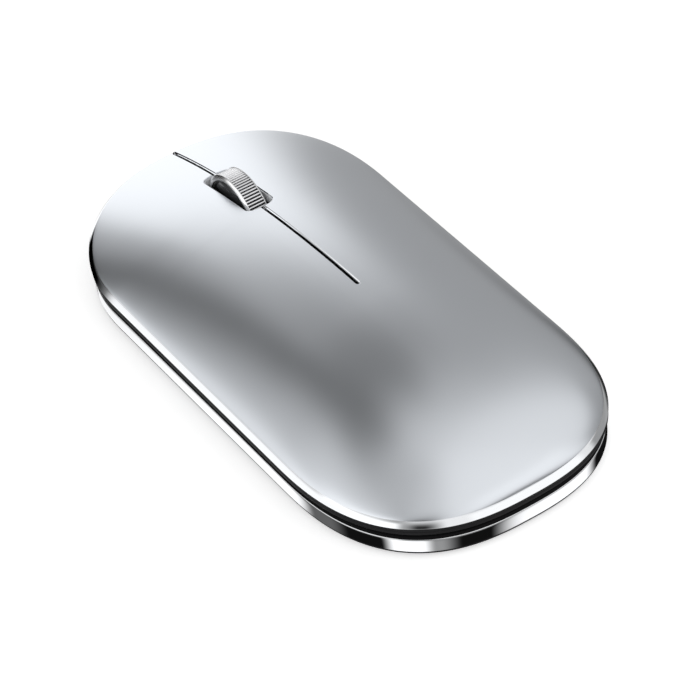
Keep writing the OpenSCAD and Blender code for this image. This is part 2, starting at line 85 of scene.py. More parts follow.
SAME, COINCIDENT = 1e-6, 1e-8           # places (mm) and points (m) closer than these are one


def power(y):
    return FRONT_N if y > 0 else REAR_N


def cap(y):
    return FRONT_CAP if y > 0 else REAR_CAP


def into_cap(y, inset):
    """How far y lies into its rounded end: 0 where the end begins, 1 at its tip."""
    return min(1.0, max(0.0, (abs(y) - (HALF_L - cap(y))) / (cap(y) - inset)))


def width(y, inset=RIM_W):
    """Half width of the footprint, drawn in by inset."""
    n = power(y)
    return (HALF_W - inset) * max(0.0, 1 - into_cap(y, inset) ** n) ** (1 / n)


def edge_point(turn, inset):
    """Point of the footprint's right half; turn runs from -pi/2 at the back to pi/2 at the front."""
    y = 1 if turn > 0 else -1
    p = 2 / power(y)
    return ((HALF_W - inset) * abs(math.cos(turn)) ** p,
            y * (HALF_L - cap(y) + (cap(y) - inset) * abs(math.sin(turn)) ** p))


def outward(y, inset=RIM_W):
    """Unit direction (x, y) that points straight out of the footprint's right half."""
    n = power(y) - 1
    side = (width(y, inset) / (HALF_W - inset)) ** n / (HALF_W - inset)
    end = into_cap(y, inset) ** n / (cap(y) - inset) * (1 if y > 0 else -1)
    size = math.hypot(side, end)
    return side / size, end / size


def lift(y):
    """How far the top's edge has risen at y."""
    return FRONT_LIFT * max(0.0, (y - LIFT_Y) / (TIP - LIFT_Y)) ** 2


def crown(y):
    """Height of the top along its middle line."""
    if y > CROWN_Y:
        v = min(1.0, (y - CROWN_Y) / (TIP - CROWN_Y))
        return CROWN_Z - (CROWN_Z - EDGE_Z - FRONT_LIFT) * ((1 - DROOP) * v ** 2 + DROOP * v ** 4)
    v = min(1.0, (CROWN_Y - y) / (TIP + CROWN_Y))
    return EDGE_Z + (CROWN_Z - EDGE_Z) * (1 - v ** REAR_POWER) ** REAR_ROOT


def dome(x, y, drop=0.0, side=0.0, foot=EDGE_Z):
    """Height of the top, or of its inside when drop and side are the wall's thickness."""
    foot = foot + lift(y)
    least = 0.2
    u = min(1.0, abs(x) / max(least, width(y) - side))
    return foot + (max(foot, crown(y) - drop) - foot) * max(0.0, 1 - u ** SWELL_POWER) ** SWELL_ROOT


def half_gap(y):
    """Half the gap between the keys: the slit with its round end, and the slot round the wheel."""
    t = y - SEAM_Y
    x = math.sqrt(max(0.0, SLIT ** 2 - (SLIT - t) ** 2)) if t < SLIT else SLIT
    end = min(y - SLOT_BACK, SLOT_FRONT - y)
    if end > 0:
        t = min(1.0, end / SLOT_END)
        x = max(x, SLOT_W * (1 - (1 - t) ** SLOT_N) ** (1 / SLOT_N))
    return x


def eased(n, k):
    """n+1 steps from 0 to 1, k times closer together at 0 than at 1."""
    steps = np.cumsum(np.concatenate([[0], np.geomspace(1, k, n)]))
    return steps / steps[-1]


# ---- Mesh helpers ----

def mesh_object(name, points, faces, kinds, mats):
    """Mesh from points in millimetres. kinds gives each face's place in the list of materials."""
    mesh = bpy.data.meshes.new(name)
    mesh.from_pydata([(x * MM, y * MM, z * MM) for x, y, z in points], [], faces)
    for m in mats:
        mesh.materials.append(m)
    mesh.polygons.foreach_set("material_index", kinds)
    mesh.update()
    obj = bpy.data.objects.new(name, mesh)
    bpy.context.scene.collection.objects.link(obj)
    return obj


def drop_slivers(obj):
    """Merges points that coincide, such as the ends of rows that close to nothing."""
    bm = bmesh.new()
    bm.from_mesh(obj.data)
    bmesh.ops.remove_doubles(bm, verts=bm.verts, dist=COINCIDENT)
    bmesh.ops.recalc_face_normals(bm, faces=bm.faces)
    bm.to_mesh(obj.data)
    bm.free()


def shared_normals(objects):
    """Smooth normals that agree wherever pieces meet. An edge between two materials stays sharp."""
    per_metre = 2e7     # points are matched on a grid this fine
    keys, sums, loops = [], [], []
    for obj in objects:
        mesh = obj.data
        count = len(mesh.loops)
        vert = np.zeros(count, int)
        mesh.loops.foreach_get("vertex_index", vert)
        co = np.zeros(3 * len(mesh.vertices))
        mesh.vertices.foreach_get("co", co)
        co = co.reshape(-1, 3)[vert]
        face = np.repeat(np.arange(len(mesh.polygons)), [p.loop_total for p in mesh.polygons])
        normal = np.zeros(3 * len(mesh.polygons))
        mesh.polygons.foreach_get("normal", normal)
        area = np.zeros(len(mesh.polygons))
        mesh.polygons.foreach_get("area", area)
        kind = np.zeros(len(mesh.polygons), int)
        mesh.polygons.foreach_get("material_index", kind)
        keys.append(np.column_stack([np.round(co * per_metre).astype(np.int64), kind[face]]))
        sums.append((normal.reshape(-1, 3) * area[:, None] ** 0.5)[face])
        loops.append(count)
    _, where = np.unique(np.concatenate(keys), axis=0, return_inverse=True)
    where = where.ravel()
    total = np.zeros((where.max() + 1, 3))
    np.add.at(total, where, np.concatenate(sums))
    total /= np.maximum(np.linalg.norm(total, axis=1), 1e-12)[:, None]
    start = 0
    for obj, count in zip(objects, loops):
        mesh = obj.data
        mesh.polygons.foreach_set("use_smooth", [True] * len(mesh.polygons))
        mesh.normals_split_custom_set(total[where[start:start + count]].tolist())
        start += count


def loft(name, rows, kinds, mats, closed=False, cap_kind=None):
    """Tube through rows that are closed loops of equal count. kinds gives each loop edge's material, as a
    list or as a function of the edge and the row."""
    n, points = len(rows[0]), [p for row in rows for p in row]
    faces, marks = [], []
    for r in range(len(rows) if closed else len(rows) - 1):
        a, b = r * n, (r + 1) % len(rows) * n
        for i in range(n):
            j = (i + 1) % n
            kind = kinds[i] if not callable(kinds) else kinds(i, r)
            faces.append((a + i, b + i, b + j, a + j))
            marks.append(kind)
    if cap_kind is not None and not closed:
        last = (len(rows) - 1) * n
        faces += [tuple(range(n)), tuple(last + i for i in reversed(range(n)))]
        marks += [cap_kind, cap_kind]
    return mesh_object(name, points, faces, marks, mats)


def stations(y_from, y_to, side_steps=46, cap_steps=110):
    """Places along the outline's right half from y_from to y_to: a turn of an end, or a straight's y."""
    straight = HALF_L - REAR_CAP
    out = [("turn", -math.pi / 2 * (1 - k / cap_steps)) for k in range(cap_steps + 1)]
    for k in range(side_steps + 1):
        out.append(("side", -straight + (2 * HALF_L - REAR_CAP - FRONT_CAP) * k / side_steps))
    out += [("turn", math.pi / 2 * k / cap_steps) for k in range(1, cap_steps + 1)]
    kept = [s for s in out if y_from - SAME <= station_xy(s, 0)[1] <= y_to + SAME]
    if y_from > -HALF_L and abs(station_xy(kept[0], 0)[1] - y_from) > SAME:
        kept = [("side", y_from)] + kept
    if y_to < HALF_L - 1 and abs(station_xy(kept[-1], 0)[1] - y_to) > SAME:
        kept = kept + [("side", y_to)]
    return kept


def station_xy(station, inset):
    kind, value = station
    if kind == "side":
        return HALF_W - inset, value
    if abs(value) < 1e-9:       # the rear end's last turn, which is where the straight begins
        return HALF_W - inset, -(HALF_L - REAR_CAP)
    return edge_point(value, inset)


def band(name, profile, side, y_from, y_to, mats, kinds, lifted=False):
    """Closed profile of (inset, z) swept along the outline: side -1 or 1 up to the slit, or 0 for both."""
    right = stations(y_from, y_to)
    if side:
        right[-1] = ("turn", math.acos((SLIT / HALF_W) ** (FRONT_N / 2)))

    def row(station, sign):
        points = []
        for inset, z in profile:
            x, y = station_xy(station, inset)
            points.append((sign * x, y, z + (lift(y) if lifted else 0)))
        return points

    whole = side == 0 and y_from < -HALF_L + SAME and y_to > HALF_L - SAME
    if side:
        path = [row(s, side) for s in right]
    elif whole:
        path = [row(s, 1) for s in right] + [row(s, -1) for s in reversed(right[1:-1])]
    else:
        path = [row(s, 1) for s in reversed(right)] + [row(s, -1) for s in right[1:]]
    obj = loft(name, path, kinds, mats, closed=whole, cap_kind=None if whole else kinds[0])
    drop_slivers(obj)
    return obj


def lathe(name, profile, steps, mats, kinds, shape=None):
    """Closed profile of (x, radius) turned round the wheel's axle; shape(step, radius) may change it."""
    rows = []
    for k in range(steps):
        a = 2 * math.pi * k / steps
        row = []
        for x, r in profile:
            r = shape(k, r) if shape else r
            row.append((x, WHEEL_Y + r * math.cos(a), WHEEL_Z + r * math.sin(a)))
        rows.append(row)
    obj = loft(name, rows, kinds, mats, closed=True)
    drop_slivers(obj)
    return obj


# ---- Materials ----

WEAR_FROM, WEAR_TO = 0.52, 0.62         # pointiness at which an edge begins to look worn and is fully so
FINE_SHARE = 0.4                        # how much the fine noise adds to the large one in the roughness
NOISE_LOW, NOISE_HIGH = 0.35, 1.05      # usual range of that sum


def material(name, colour, metallic=0.0, rough=0.5, grain=1500.0, bump=0.0, spread=0.03, tint=0.04,
             large=60.0, stretch=(1, 1, 1), wear=0.0, **extra):
    """Principled material whose colour, roughness and relief vary with noise fixed to the object.

    grain and large are the scales of the fine and the large noise, bump is the depth of the fine relief in
    metres, spread and tint say how much roughness and colour vary, and wear lightens the edges.
    """
    m = bpy.data.materials.new(name)
    m.use_nodes = True
    nt = m.node_tree
    n, link = nt.nodes, nt.links.new
    shader = n["Principled BSDF"]
    coord = n.new("ShaderNodeTexCoord")
    mapping = n.new("ShaderNodeMapping")
    mapping.inputs["Scale"].default_value = stretch
    link(coord.outputs["Object"], mapping.inputs["Vector"])
    soft, fine = n.new("ShaderNodeTexNoise"), n.new("ShaderNodeTexNoise")
    for tex, scale, detail in ((soft, large, 3), (fine, grain, 4)):
        tex.inputs["Scale"].default_value = scale
        tex.inputs["Detail"].default_value = detail
        link(mapping.outputs["Vector"], tex.inputs["Vector"])
    dark = [c * (1 - tint) for c in colour]
    light = [min(1.0, c * (1 + tint)) for c in colour]
    ramp = n.new("ShaderNodeMix")
    ramp.data_type = "RGBA"     # its colour sockets are inputs 6 and 7 and output 2
    ramp.inputs[6].default_value = (*dark, 1)
    ramp.inputs[7].default_value = (*light, 1)
    link(soft.outputs["Fac"], ramp.inputs[0])
    colour_out = ramp.outputs[2]
    if wear:
        geo = n.new("ShaderNodeNewGeometry")
        edge = n.new("ShaderNodeMapRange")
        edge.inputs["From Min"].default_value = WEAR_FROM
        edge.inputs["From Max"].default_value = WEAR_TO
        edge.inputs["To Max"].default_value = wear
        link(geo.outputs["Pointiness"], edge.inputs["Value"])
        worn = n.new("ShaderNodeMix")
        worn.data_type = "RGBA"
        worn.inputs[7].default_value = (*[min(1.0, c * 1.5 + 0.05) for c in colour], 1)
        link(edge.outputs["Result"], worn.inputs[0])
        link(colour_out, worn.inputs[6])
        colour_out = worn.outputs[2]
    link(colour_out, shader.inputs["Base Color"])
    shader.inputs["Metallic"].default_value = metallic
    both = n.new("ShaderNodeMath")
    both.operation = "MULTIPLY_ADD"
    both.inputs[1].default_value = FINE_SHARE
    link(fine.outputs["Fac"], both.inputs[0])
    link(soft.outputs["Fac"], both.inputs[2])
    span = n.new("ShaderNodeMapRange")
    span.inputs["From Min"].default_value = NOISE_LOW
    span.inputs["From Max"].default_value = NOISE_HIGH
    span.inputs["To Min"].default_value = max(0.0, rough - spread)
    span.inputs["To Max"].default_value = min(1.0, rough + spread)
    link(both.outputs[0], span.inputs["Value"])
    link(span.outputs["Result"], shader.inputs["Roughness"])
    if bump:
        relief = n.new("ShaderNodeBump")
        relief.inputs["Strength"].default_value = 1.0
        relief.inputs["Distance"].default_value = bump
        link(fine.outputs["Fac"], relief.inputs["Height"])
        link(relief.outputs["Normal"], shader.inputs["Normal"])
    for key, value in extra.items():
        shader.inputs[key.replace("_", " ")].default_value = value
    return m


SATIN = material("satin_silver", (0.765, 0.795, 0.835), 1.0, 0.29,
                 grain=2600, bump=1.2e-7, spread=0.012, tint=0.006)
POLISHED = material("polished_edge", (0.87, 0.885, 0.905), 1.0, 0.055, grain=900, spread=0.02, tint=0.01)
CHROME = material("mirror_chrome", (0.88, 0.89, 0.905), 1.0, 0.035, grain=700, spread=0.015, tint=0.008)
LINING_SILVER = material("drawn_silver", (0.82, 0.835, 0.86), 0.45, 0.4, grain=1800, spread=0.03, tint=0.02)
SLIT_WALL = material("slit_wall", (0.78, 0.8, 0.83), 1.0, 0.2,
                     grain=1800, bump=1.5e-7, spread=0.03, tint=0.02)
TRIM = material("matt_black_trim", (0.014, 0.014, 0.015), 0.0, 0.5,
                grain=5000, bump=2e-6, spread=0.06, tint=0.15, Specular_IOR_Level=0.12)
INSIDE = material("shell_inside", (0.012, 0.012, 0.013), 0.0, 0.65,
                  grain=3000, bump=2e-6, spread=0.06, tint=0.15)
BASE = material("moulded_black", (0.02, 0.02, 0.021), 0.0, 0.52,
                grain=3500, bump=4e-6, spread=0.07, tint=0.12, wear=0.3)
GLIDE = material("glide_plastic", (0.05, 0.05, 0.052), 0.0, 0.38,
                 grain=2500, bump=2e-6, spread=0.08, tint=0.15)
HUB = material("gloss_black_hub", (0.03, 0.031, 0.032), 0.0, 0.16,
               grain=1500, spread=0.05, tint=0.1, IOR=1.8)
BAND = material("ribbed_metal", (0.86, 0.865, 0.88), 1.0, 0.2, grain=1500, spread=0.03, tint=0.01)
# Black metal for the deep groove floors of the wheel's ribs: painted shade, standing in for the shadow inside
# the grooves.
GROOVE_SHADE = material("painted_groove_shade", (0.03, 0.03, 0.032), 1.0, 0.4,
                        grain=2500, bump=5e-7, spread=0.05, tint=0.1)
BRIGHT = material("bright_rim", (0.97, 0.975, 0.98), 0.9, 0.2, grain=1500, spread=0.02, tint=0.01)
STEEL = material("steel", (0.56, 0.56, 0.57), 1.0, 0.28, grain=1800, bump=5e-7, spread=0.06, tint=0.06)
CAN = material("plated_can", (0.66, 0.66, 0.68), 1.0, 0.3,
               grain=1200, bump=6e-7, spread=0.07, tint=0.05, stretch=(1, 8, 1))
BOARD = material("solder_mask", (0.012, 0.09, 0.045), 0.0, 0.35,
                 grain=1500, bump=2e-6, spread=0.08, tint=0.25, large=400)
SWITCH = material("switch_plastic", (0.03, 0.03, 0.033), 0.0, 0.45,
                  grain=2500, bump=3e-6, spread=0.06, tint=0.15, wear=0.3)
PLUNGER = material("red_plunger", (0.5, 0.04, 0.03), 0.0, 0.4,
                   grain=2500, bump=2e-6, spread=0.05, tint=0.12)
CHIP = material("chip_epoxy", (0.015, 0.015, 0.016), 0.0, 0.6, grain=4000, bump=4e-6, spread=0.06, tint=0.2)
PART = material("ceramic_part", (0.42, 0.33, 0.22), 0.0, 0.5,
                grain=3000, bump=2e-6, spread=0.08, tint=0.2, large=500)
FOIL = material("battery_foil", (0.62, 0.62, 0.65), 1.0, 0.42,
                grain=900, bump=8e-6, spread=0.08, tint=0.08, large=200)
TAPE = material("foam_tape", (0.75, 0.75, 0.72), 0.0, 0.85, grain=2500, bump=2e-5, spread=0.05, tint=0.1)
WIRE = material("wire_jacket", (0.5, 0.02, 0.02), 0.0, 0.4, grain=2000, bump=4e-6, spread=0.06, tint=0.1)
WHITE = material("connector_nylon", (0.8, 0.79, 0.74), 0.0, 0.5,
                 grain=2500, bump=2e-6, spread=0.06, tint=0.06)
KNOB = material("knob_plastic", (0.18, 0.18, 0.19), 0.0, 0.42,
                grain=3000, bump=3e-6, spread=0.06, tint=0.12, wear=0.4)
LENS = material("clear_lens", (0.94, 0.96, 0.97), 0.0, 0.05, grain=900, spread=0.03, tint=0.02,
                Transmission_Weight=0.9, IOR=1.49)

SLOTS = {
    "satin_silver": SATIN, "black_trim": TRIM, "chrome_ring": CHROME, "base_black": BASE, "glide_foot": GLIDE,
    "board_green": BOARD, "switch_black": SWITCH, "plunger_red": PLUNGER, "wheel_metal": BAND,
    "wheel_bright": BRIGHT, "hub_black": HUB, "steel": STEEL, "lens_clear": LENS, "chip_black": CHIP,
    "can_metal": CAN, "component": PART, "battery_foil": FOIL, "tape": TAPE, "wire_red": WIRE,
    "connector_white": WHITE, "knob_grey": KNOB,
}

# ---- Top: palm cover and the two keys, as one unbroken dome with a slit ----
# Each piece is a row of loops across the mouse. A key's loop runs over the skin from the gap to the side,
# down the polished edge, back along the inside and up the wall of the gap. The palm's goes from side to side.

TOP_MATERIALS = [SATIN, POLISHED, INSIDE, SLIT_WALL, POLISHED]
SKIN, EDGE, LINED, WALL, LIP_FACE = range(5)
LIP_STEPS = (0, 0.03, 0.12, 0.3, 0.6, 1.0)      # columns across the lip
NEAR_GAP = 0.12                                 # share of the skin with finer columns, beside the lip
ACROSS = np.concatenate([NEAR_GAP * eased(18, 5.0)[1:],
                         NEAR_GAP + (1 - NEAR_GAP) * np.sin(np.radians(90 * np.arange(1, 31) / 30))])
INNER = np.sin(np.radians(90 * np.arange(15) / 14))
# The polished edge, as shares of how far it stands out and how far it falls.
EDGE_CURVE = [(0.1, 0.08), (0.2, 0.163), (0.35, 0.3), (0.5, 0.448), (0.65, 0.607), (0.78, 0.752),
              (0.88, 0.87), (0.95, 0.945), (0.985, 0.975), (1.0, 1.0)]


def gap_outline():
    """Closely spaced points (x, y) along the right side of the gap, to measure the lip from."""
    step, into_slot = 0.04, 1e-4
    ys = np.concatenate([
        SEAM_Y + SLIT * (1 - np.cos(np.radians(np.linspace(0, 90, 24)))),
        np.arange(SEAM_Y + SLIT, SLOT_BACK, step),
        SLOT_BACK + SLOT_END * np.linspace(0, 1, 260) ** 3,
        np.arange(SLOT_BACK + SLOT_END, SLOT_FRONT - SLOT_END, step),
        SLOT_FRONT - SLOT_END * np.linspace(1, 0, 260) ** 3,
        np.arange(SLOT_FRONT, TIP, step),
    ])
    points = [(half_gap(y), y) for y in ys]
    for y, inward in ((SLOT_BACK, into_slot), (SLOT_FRONT, -into_slot)):
        points += [(x, y) for x in np.linspace(SLIT, half_gap(y + inward), 12)]
    return np.array(points)


GAP = gap_outline()


def lip_drop(xs, y):
    """How far the bevelled lip of the gap lowers the dome at points of one row."""
    near = GAP[np.abs(GAP[:, 1] - y) < 2 * LIP]
    if not len(near):
        return np.zeros(len(xs))
    d = np.sqrt(((np.abs(xs)[:, None] - near[:, 0]) ** 2 + (y - near[:, 1]) ** 2).min(axis=1))
    inside = np.clip(LIP - d, 0, LIP)
    forward = min(1.0, max(0.0, (y - SEAM_Y) / (SLOT_BACK - SEAM_Y)))
    steepness = CHAMFER_BACK + (CHAMFER_FRONT - CHAMFER_BACK) * forward
    return steepness * inside ** 2 / (inside + LIP_ROUND)


def half_columns(y, x0):
    """Columns of one row, from x0 over the lip to the skin's edge."""
    w = width(y)
    widest = 0.4    # share of a short row that the lip's columns may take up
    lip = min(LIP, widest * (w - x0))
    return np.array([x0 + lip * c for c in LIP_STEPS] + [x0 + lip + (w - x0 - lip) * h for h in ACROSS])


def edge_curve(y, side):
    """The polished edge beside the row at y."""
    w, (dx, dy) = width(y), outward(y)
    out = []
    for along, down in EDGE_CURVE:
        y_out = y + RIM_W * along * dy
        out.append((side * (w + RIM_W * along * dx), y_out, EDGE_Z + lift(y_out) - RIM_H * down))
    return out


def skin_and_inside(y, x0):
    """Points of one row on the outside, from x0 to the edge, and on the inside, back to x0."""
    xs = half_columns(y, x0)
    outer = [(x, y, dome(x, y) - d) for x, d in zip(xs, lip_drop(xs, y))]
    reach = max(x0 + THIN, width(y) - SIDE_WALL) - x0
    inner = [(x, y, dome(x, y, SHELL, SIDE_WALL, RIM_Z)) for x in x0 + reach * INNER[::-1]]
    return outer, inner


def key_loop(y, side):
    x0 = half_gap(y)
    outer, inner = [[(side * x, y, z) for x, y, z in points] for points in skin_and_inside(y, x0)]
    return outer + edge_curve(y, side) + inner + [(side * x0, y, max(inner[-1][2], outer[0][2] - GAP_WALL))]


def palm_loop(y, closing=False):
    """Loop across the whole palm; the closing one, at the very back, has no width."""
    right, inner = skin_and_inside(y, 0.0)
    outer = [(-x, a, b) for x, a, b in right[:0:-1]] + right
    inner += [(-x, a, b) for x, a, b in inner[-2::-1]]
    loop = outer + edge_curve(y, 1) + inner + edge_curve(y, -1)[::-1]
    return [(0.0, a, b) for _, a, b in loop] if closing else loop


def key_rows():
    """Places of a key's loops: close together at the slit's end, round the slot's ends and at the front."""
    # Shares of the slot's rounded end, and of the lip's width, at which loops lie.
    slot = np.array([0.0015, 0.005, 0.012, 0.025, 0.045, 0.08, 0.13, 0.2, 0.3, 0.42, 0.56, 0.72, 0.86, 1.0])
    lip = np.array([1.6, 1.0, 0.7, 0.45, 0.25, 0.1, 0.02, 0.0])
    ys = list(SEAM_Y + SLIT * np.array([0, 0.01, 0.04, 0.1, 0.2, 0.36, 0.56, 0.8, 1.0]))
    ys += list(SEAM_Y + SLIT + (SLOT_BACK - 2 * LIP - SEAM_Y - SLIT) * eased(34, 12.0)[1:])
    ys += list(SLOT_BACK - LIP * lip) + list(SLOT_BACK + SLOT_END * slot)
    ys += list(np.linspace(SLOT_BACK + SLOT_END, SLOT_FRONT - SLOT_END, 16)[1:-1])
    ys += list(SLOT_FRONT - SLOT_END * slot[::-1]) + list(SLOT_FRONT + LIP * lip[::-1])
    past_slot, beside_slit = 0.8, 0.03      # where the last stretch begins, and what is left of its last loop
    first = math.asin(((SLOT_FRONT + past_slot - HALF_L + FRONT_CAP) / (FRONT_CAP - RIM_W)) ** (FRONT_N / 2))
    last = math.acos(((SLIT + beside_slit) / (HALF_W - RIM_W)) ** (FRONT_N / 2))
    ys += [edge_point(first + (last - first) * math.sin(math.pi / 2 * k / 56), RIM_W)[1] for k in range(57)]
    return ys


def palm_rows():
    """Places of the palm's loops, from the back to the keys."""
    half_first = 0.06       # half width of the first loop
    last = math.acos((half_first / (HALF_W - RIM_W)) ** (REAR_N / 2))
    ys = [edge_point(-last * math.cos(math.radians(88.5 * k / 60)), RIM_W)[1] for k in range(61)]
    return ys + list(SEAM_Y - (SEAM_Y - ys[-1]) * eased(36, 40.0)[-2::-1])


def make_top():
    columns, rim, inner = len(LIP_STEPS) + len(ACROSS), len(EDGE_CURVE), len(INNER)

    def key_kind(i, row):
        ends = (len(LIP_STEPS) - 1, columns - 1, columns - 1 + rim, columns + rim + inner)
        return next((kind for end, kind in zip(ends, (LIP_FACE, SKIN, EDGE, LINED)) if i < end), WALL)

    ys = key_rows()
    keys = []
    for name, side in (("left_key_top", -1), ("right_key_top", 1)):
        keys.append(loft(name, [key_loop(y, side) for y in ys], key_kind, TOP_MATERIALS, cap_kind=LINED))
    palm_kinds = [SKIN] * (2 * columns - 2) + [EDGE] * rim + [LINED] * (2 * inner) + [EDGE] * rim
    rows = palm_rows()
    loops = [palm_loop(rows[0], closing=True)] + [palm_loop(y) for y in rows]
    palm = loft("palm_top", loops, palm_kinds, TOP_MATERIALS, cap_kind=LINED)
    for piece in (palm, *keys):
        drop_slivers(piece)
    shared_normals([palm] + keys)
    return palm, keys[0], keys[1]


palm, left_key, right_key = make_top()
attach(palm, "base")
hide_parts("palm_cover")
# The keys' CAD nodes are hidden, and each key's transform is baked into its points.
for key, node, body in ((left_key, "left_button", "left_key"), (right_key, "right_button", "right_key")):
    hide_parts(node)
    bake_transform(key)

# ---- Drawn-in silver wall of the slot round the wheel, one half on each key ----

# How far in and how far down from the dome the lining runs, below the lip.
LINING = [(-0.1, -0.5), (0.0, -0.2), (0.05, -0.24), (0.11, -0.38), (0.19, -0.62), (0.26, -0.95), (0.3, -1.3),
          (0.31, -1.6), (0.2, -1.66), (-0.1, -1.6)]


def slot_lining(name, side):
    """Skirt that LINING sweeps round one half of the slot."""
    first = math.asin((SLIT / SLOT_W) ** (SLOT_N / 2))
    turns = np.linspace(first, math.pi / 2, 40)
    x = SLOT_W * np.sin(turns) ** (2 / SLOT_N)
    y = SLOT_END * (1 - np.cos(turns) ** (2 / SLOT_N))
    straight = np.linspace(SLOT_BACK + SLOT_END, SLOT_FRONT - SLOT_END, 20)[1:-1]
    xs = np.concatenate([x, np.full(len(straight), SLOT_W), x[::-1]])
    ys = np.concatenate([SLOT_BACK + y, straight, SLOT_FRONT - y[::-1]])
    along = np.gradient(np.stack([xs, ys]), axis=1)
    along /= np.linalg.norm(along, axis=0)
    rows = []
    for px, py, (tx, ty) in zip(xs, ys, along.T):
        top = dome(px, py)
        rows.append([(side * max(SLIT, px - into * ty), py + into * tx, top + down) for into, down in LINING])
    return loft(name, rows, [0] * len(LINING), [LINING_SILVER], cap_kind=0)


for name, side, body in (("left_slot_lining", -1, "left_key"), ("right_slot_lining", 1, "right_key")):
    lining = slot_lining(name, side)
    drop_slivers(lining)
    shared_normals([lining])
    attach(lining, body)

# ---- Black trim under the polished edge, and the base ring: profiles of (inset, z) ----

TRIM_PROFILE = [
    (1.3, 5.32), (0.28, 5.32), (0.17, 5.36), (0.13, 5.46), (0.13, 5.92), (0.17, 5.95), (0.2, 5.99),
    (0.2, 6.05), (0.17, 6.09), (0.13, 6.12), (0.13, 6.52), (0.17, 6.62), (0.28, 6.66), (1.3, 6.66),
]
TRIM_KINDS, NEAR_TIP = [0] * len(TRIM_PROFILE), HALF_L - 0.001
trims = [
    band("palm_trim_band", TRIM_PROFILE, 0, -HALF_L, SEAM_Y, [TRIM], TRIM_KINDS, lifted=True),
    band("left_trim_band", TRIM_PROFILE, -1, SEAM_Y, NEAR_TIP, [TRIM], TRIM_KINDS, lifted=True),
    band("right_trim_band", TRIM_PROFILE, 1, SEAM_Y, NEAR_TIP, [TRIM], TRIM_KINDS, lifted=True),
]
shared_normals(trims)
TRIM_NODES, TRIM_BODIES = ("palm_trim", "left_trim", "right_trim"), ("base", "left_key", "right_key")
for piece, node, body in zip(trims, TRIM_NODES, TRIM_BODIES):
    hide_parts(node)
    if body == "base":
        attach(piece, body)
    else:
        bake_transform(piece)

RING_PROFILE = [
    (2.2, 0.62), (0.96, 0.62), (0.78, 0.66), (0.62, 0.77), (0.51, 0.93), (0.46, 1.13), (0.45, 1.28),
    (0.45, 2.0), (0.45, 2.7), (0.455, 3.3), (0.46, 3.7), (0.475, 3.82), (0.51, 3.88), (0.56, 3.9),
    (0.64, 3.9), (0.68, 3.87), (0.69, 3.8), (0.8, 3.78), (0.98, 4.1), (2.2, 4.1),
]
RING_KINDS = [1] * 6 + [0] * 10 + [1] * 4       # black below and behind, chrome between; the black on the ring's rounded foot, up to 1.3 mm, is painted shade, a dark line along its bottom edge
ring = band("chrome_base_ring", RING_PROFILE, 0, -HALF_L, HALF_L, [CHROME, TRIM], RING_KINDS)
shared_normals([ring])
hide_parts("base_ring")
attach(ring, "base")

# ---- Wheel: profiles of (x, radius) ----

RIBS = 86
GROOVE = (0.0, 0.0, 0.02, 0.22, 0.3, 0.3, 0.3, 0.22, 0.02, 0.0)   # depth across one rib's pitch
GROOVE_FLOOR = 0.2                      # grooves deeper than this get black floors: painted shade
BAND_BORE, RIM_BORE = 7.1, 6.75
RIM_R, ROUND_STEPS = WHEEL_R + 0.1, 180
HALF_BAND, HALF_WHEEL = BAND_W / 2, WHEEL_W / 2

BAND_PROFILE = [(-HALF_BAND, BAND_BORE), (-HALF_BAND, WHEEL_R - 0.06), (-HALF_BAND + 0.05, WHEEL_R),
                (HALF_BAND - 0.05, WHEEL_R), (HALF_BAND, WHEEL_R - 0.06), (HALF_BAND, BAND_BORE)]
RIM_PROFILE = [
    (HALF_BAND, RIM_BORE), (HALF_BAND, RIM_R - 0.04), (HALF_BAND + 0.03, RIM_R), (HALF_BAND + 0.07, RIM_R),
    (HALF_BAND + 0.12, RIM_R - 0.03), (HALF_BAND + 0.22, RIM_R - 0.18), (HALF_BAND + 0.33, RIM_R - 0.37),
    (HALF_WHEEL, RIM_R - 0.6), (HALF_WHEEL, RIM_R - 0.94), (HALF_WHEEL - 0.06, RIM_R - 1.0),
    (HALF_WHEEL - 0.3, RIM_R - 1.02), (HALF_WHEEL - 0.34, RIM_BORE),
]
HUB_FACE = [(2.04, 1.0), (2.03, 2.5), (1.98, 4.0), (1.88, 5.2), (1.74, 6.0), (1.6, 6.5), (1.46, 6.8),
            (1.34, 6.92), (1.3, 7.0), (1.3, 7.08)]


def ribbed(step, radius):
    return radius - GROOVE[step % len(GROOVE)] if radius > BAND_BORE else radius


# Kind 1, black, is painted shade on the floors of the deep grooves in the band's outer face.
def rib_kind(i, step):
    depth = min(GROOVE[step % len(GROOVE)], GROOVE[(step + 1) % len(GROOVE)])
    return 1 if 1 <= i <= 3 and depth > GROOVE_FLOOR else 0


def wheel_parts():
    steps = RIBS * len(GROOVE)
    # The band's deep groove floors take the painted groove shade.
    ribs = lathe("ribbed_wheel_band", BAND_PROFILE, steps, [BAND, GROOVE_SHADE], rib_kind, ribbed)
    rims = []
    for name, sign in (("left_wheel_rim", -1), ("right_wheel_rim", 1)):
        profile = [(sign * x, r) for x, r in RIM_PROFILE]
        rims.append(lathe(name, profile, ROUND_STEPS, [BRIGHT], [0] * len(profile)))
    hub_profile = HUB_FACE + [(-x, r) for x, r in reversed(HUB_FACE)]
    hub = lathe("domed_wheel_hub", hub_profile, ROUND_STEPS, [HUB], [0] * len(hub_profile))
    return ribs, rims[0], rims[1], hub


ribs, rim_left, rim_right, hub = wheel_parts()
for piece, nodes, slot in ((ribs, ["wheel_band"], "wheel_metal"), (rim_left, ["wheel_rims"], "wheel_bright"),
                           (rim_right, ["wheel_rims"], "wheel_bright"), (hub, ["wheel_hub"], "hub_black")):
    shared_normals([piece])
    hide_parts(*nodes)
    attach(piece, "wheel")

# ---- Underside: glide feet, power knob, mode button, receiver and the window's bezel ----

FOOT_HALF, FOOT_INSET = 1.97, 7.0       # half width of a foot, and how far inside the footprint it runs
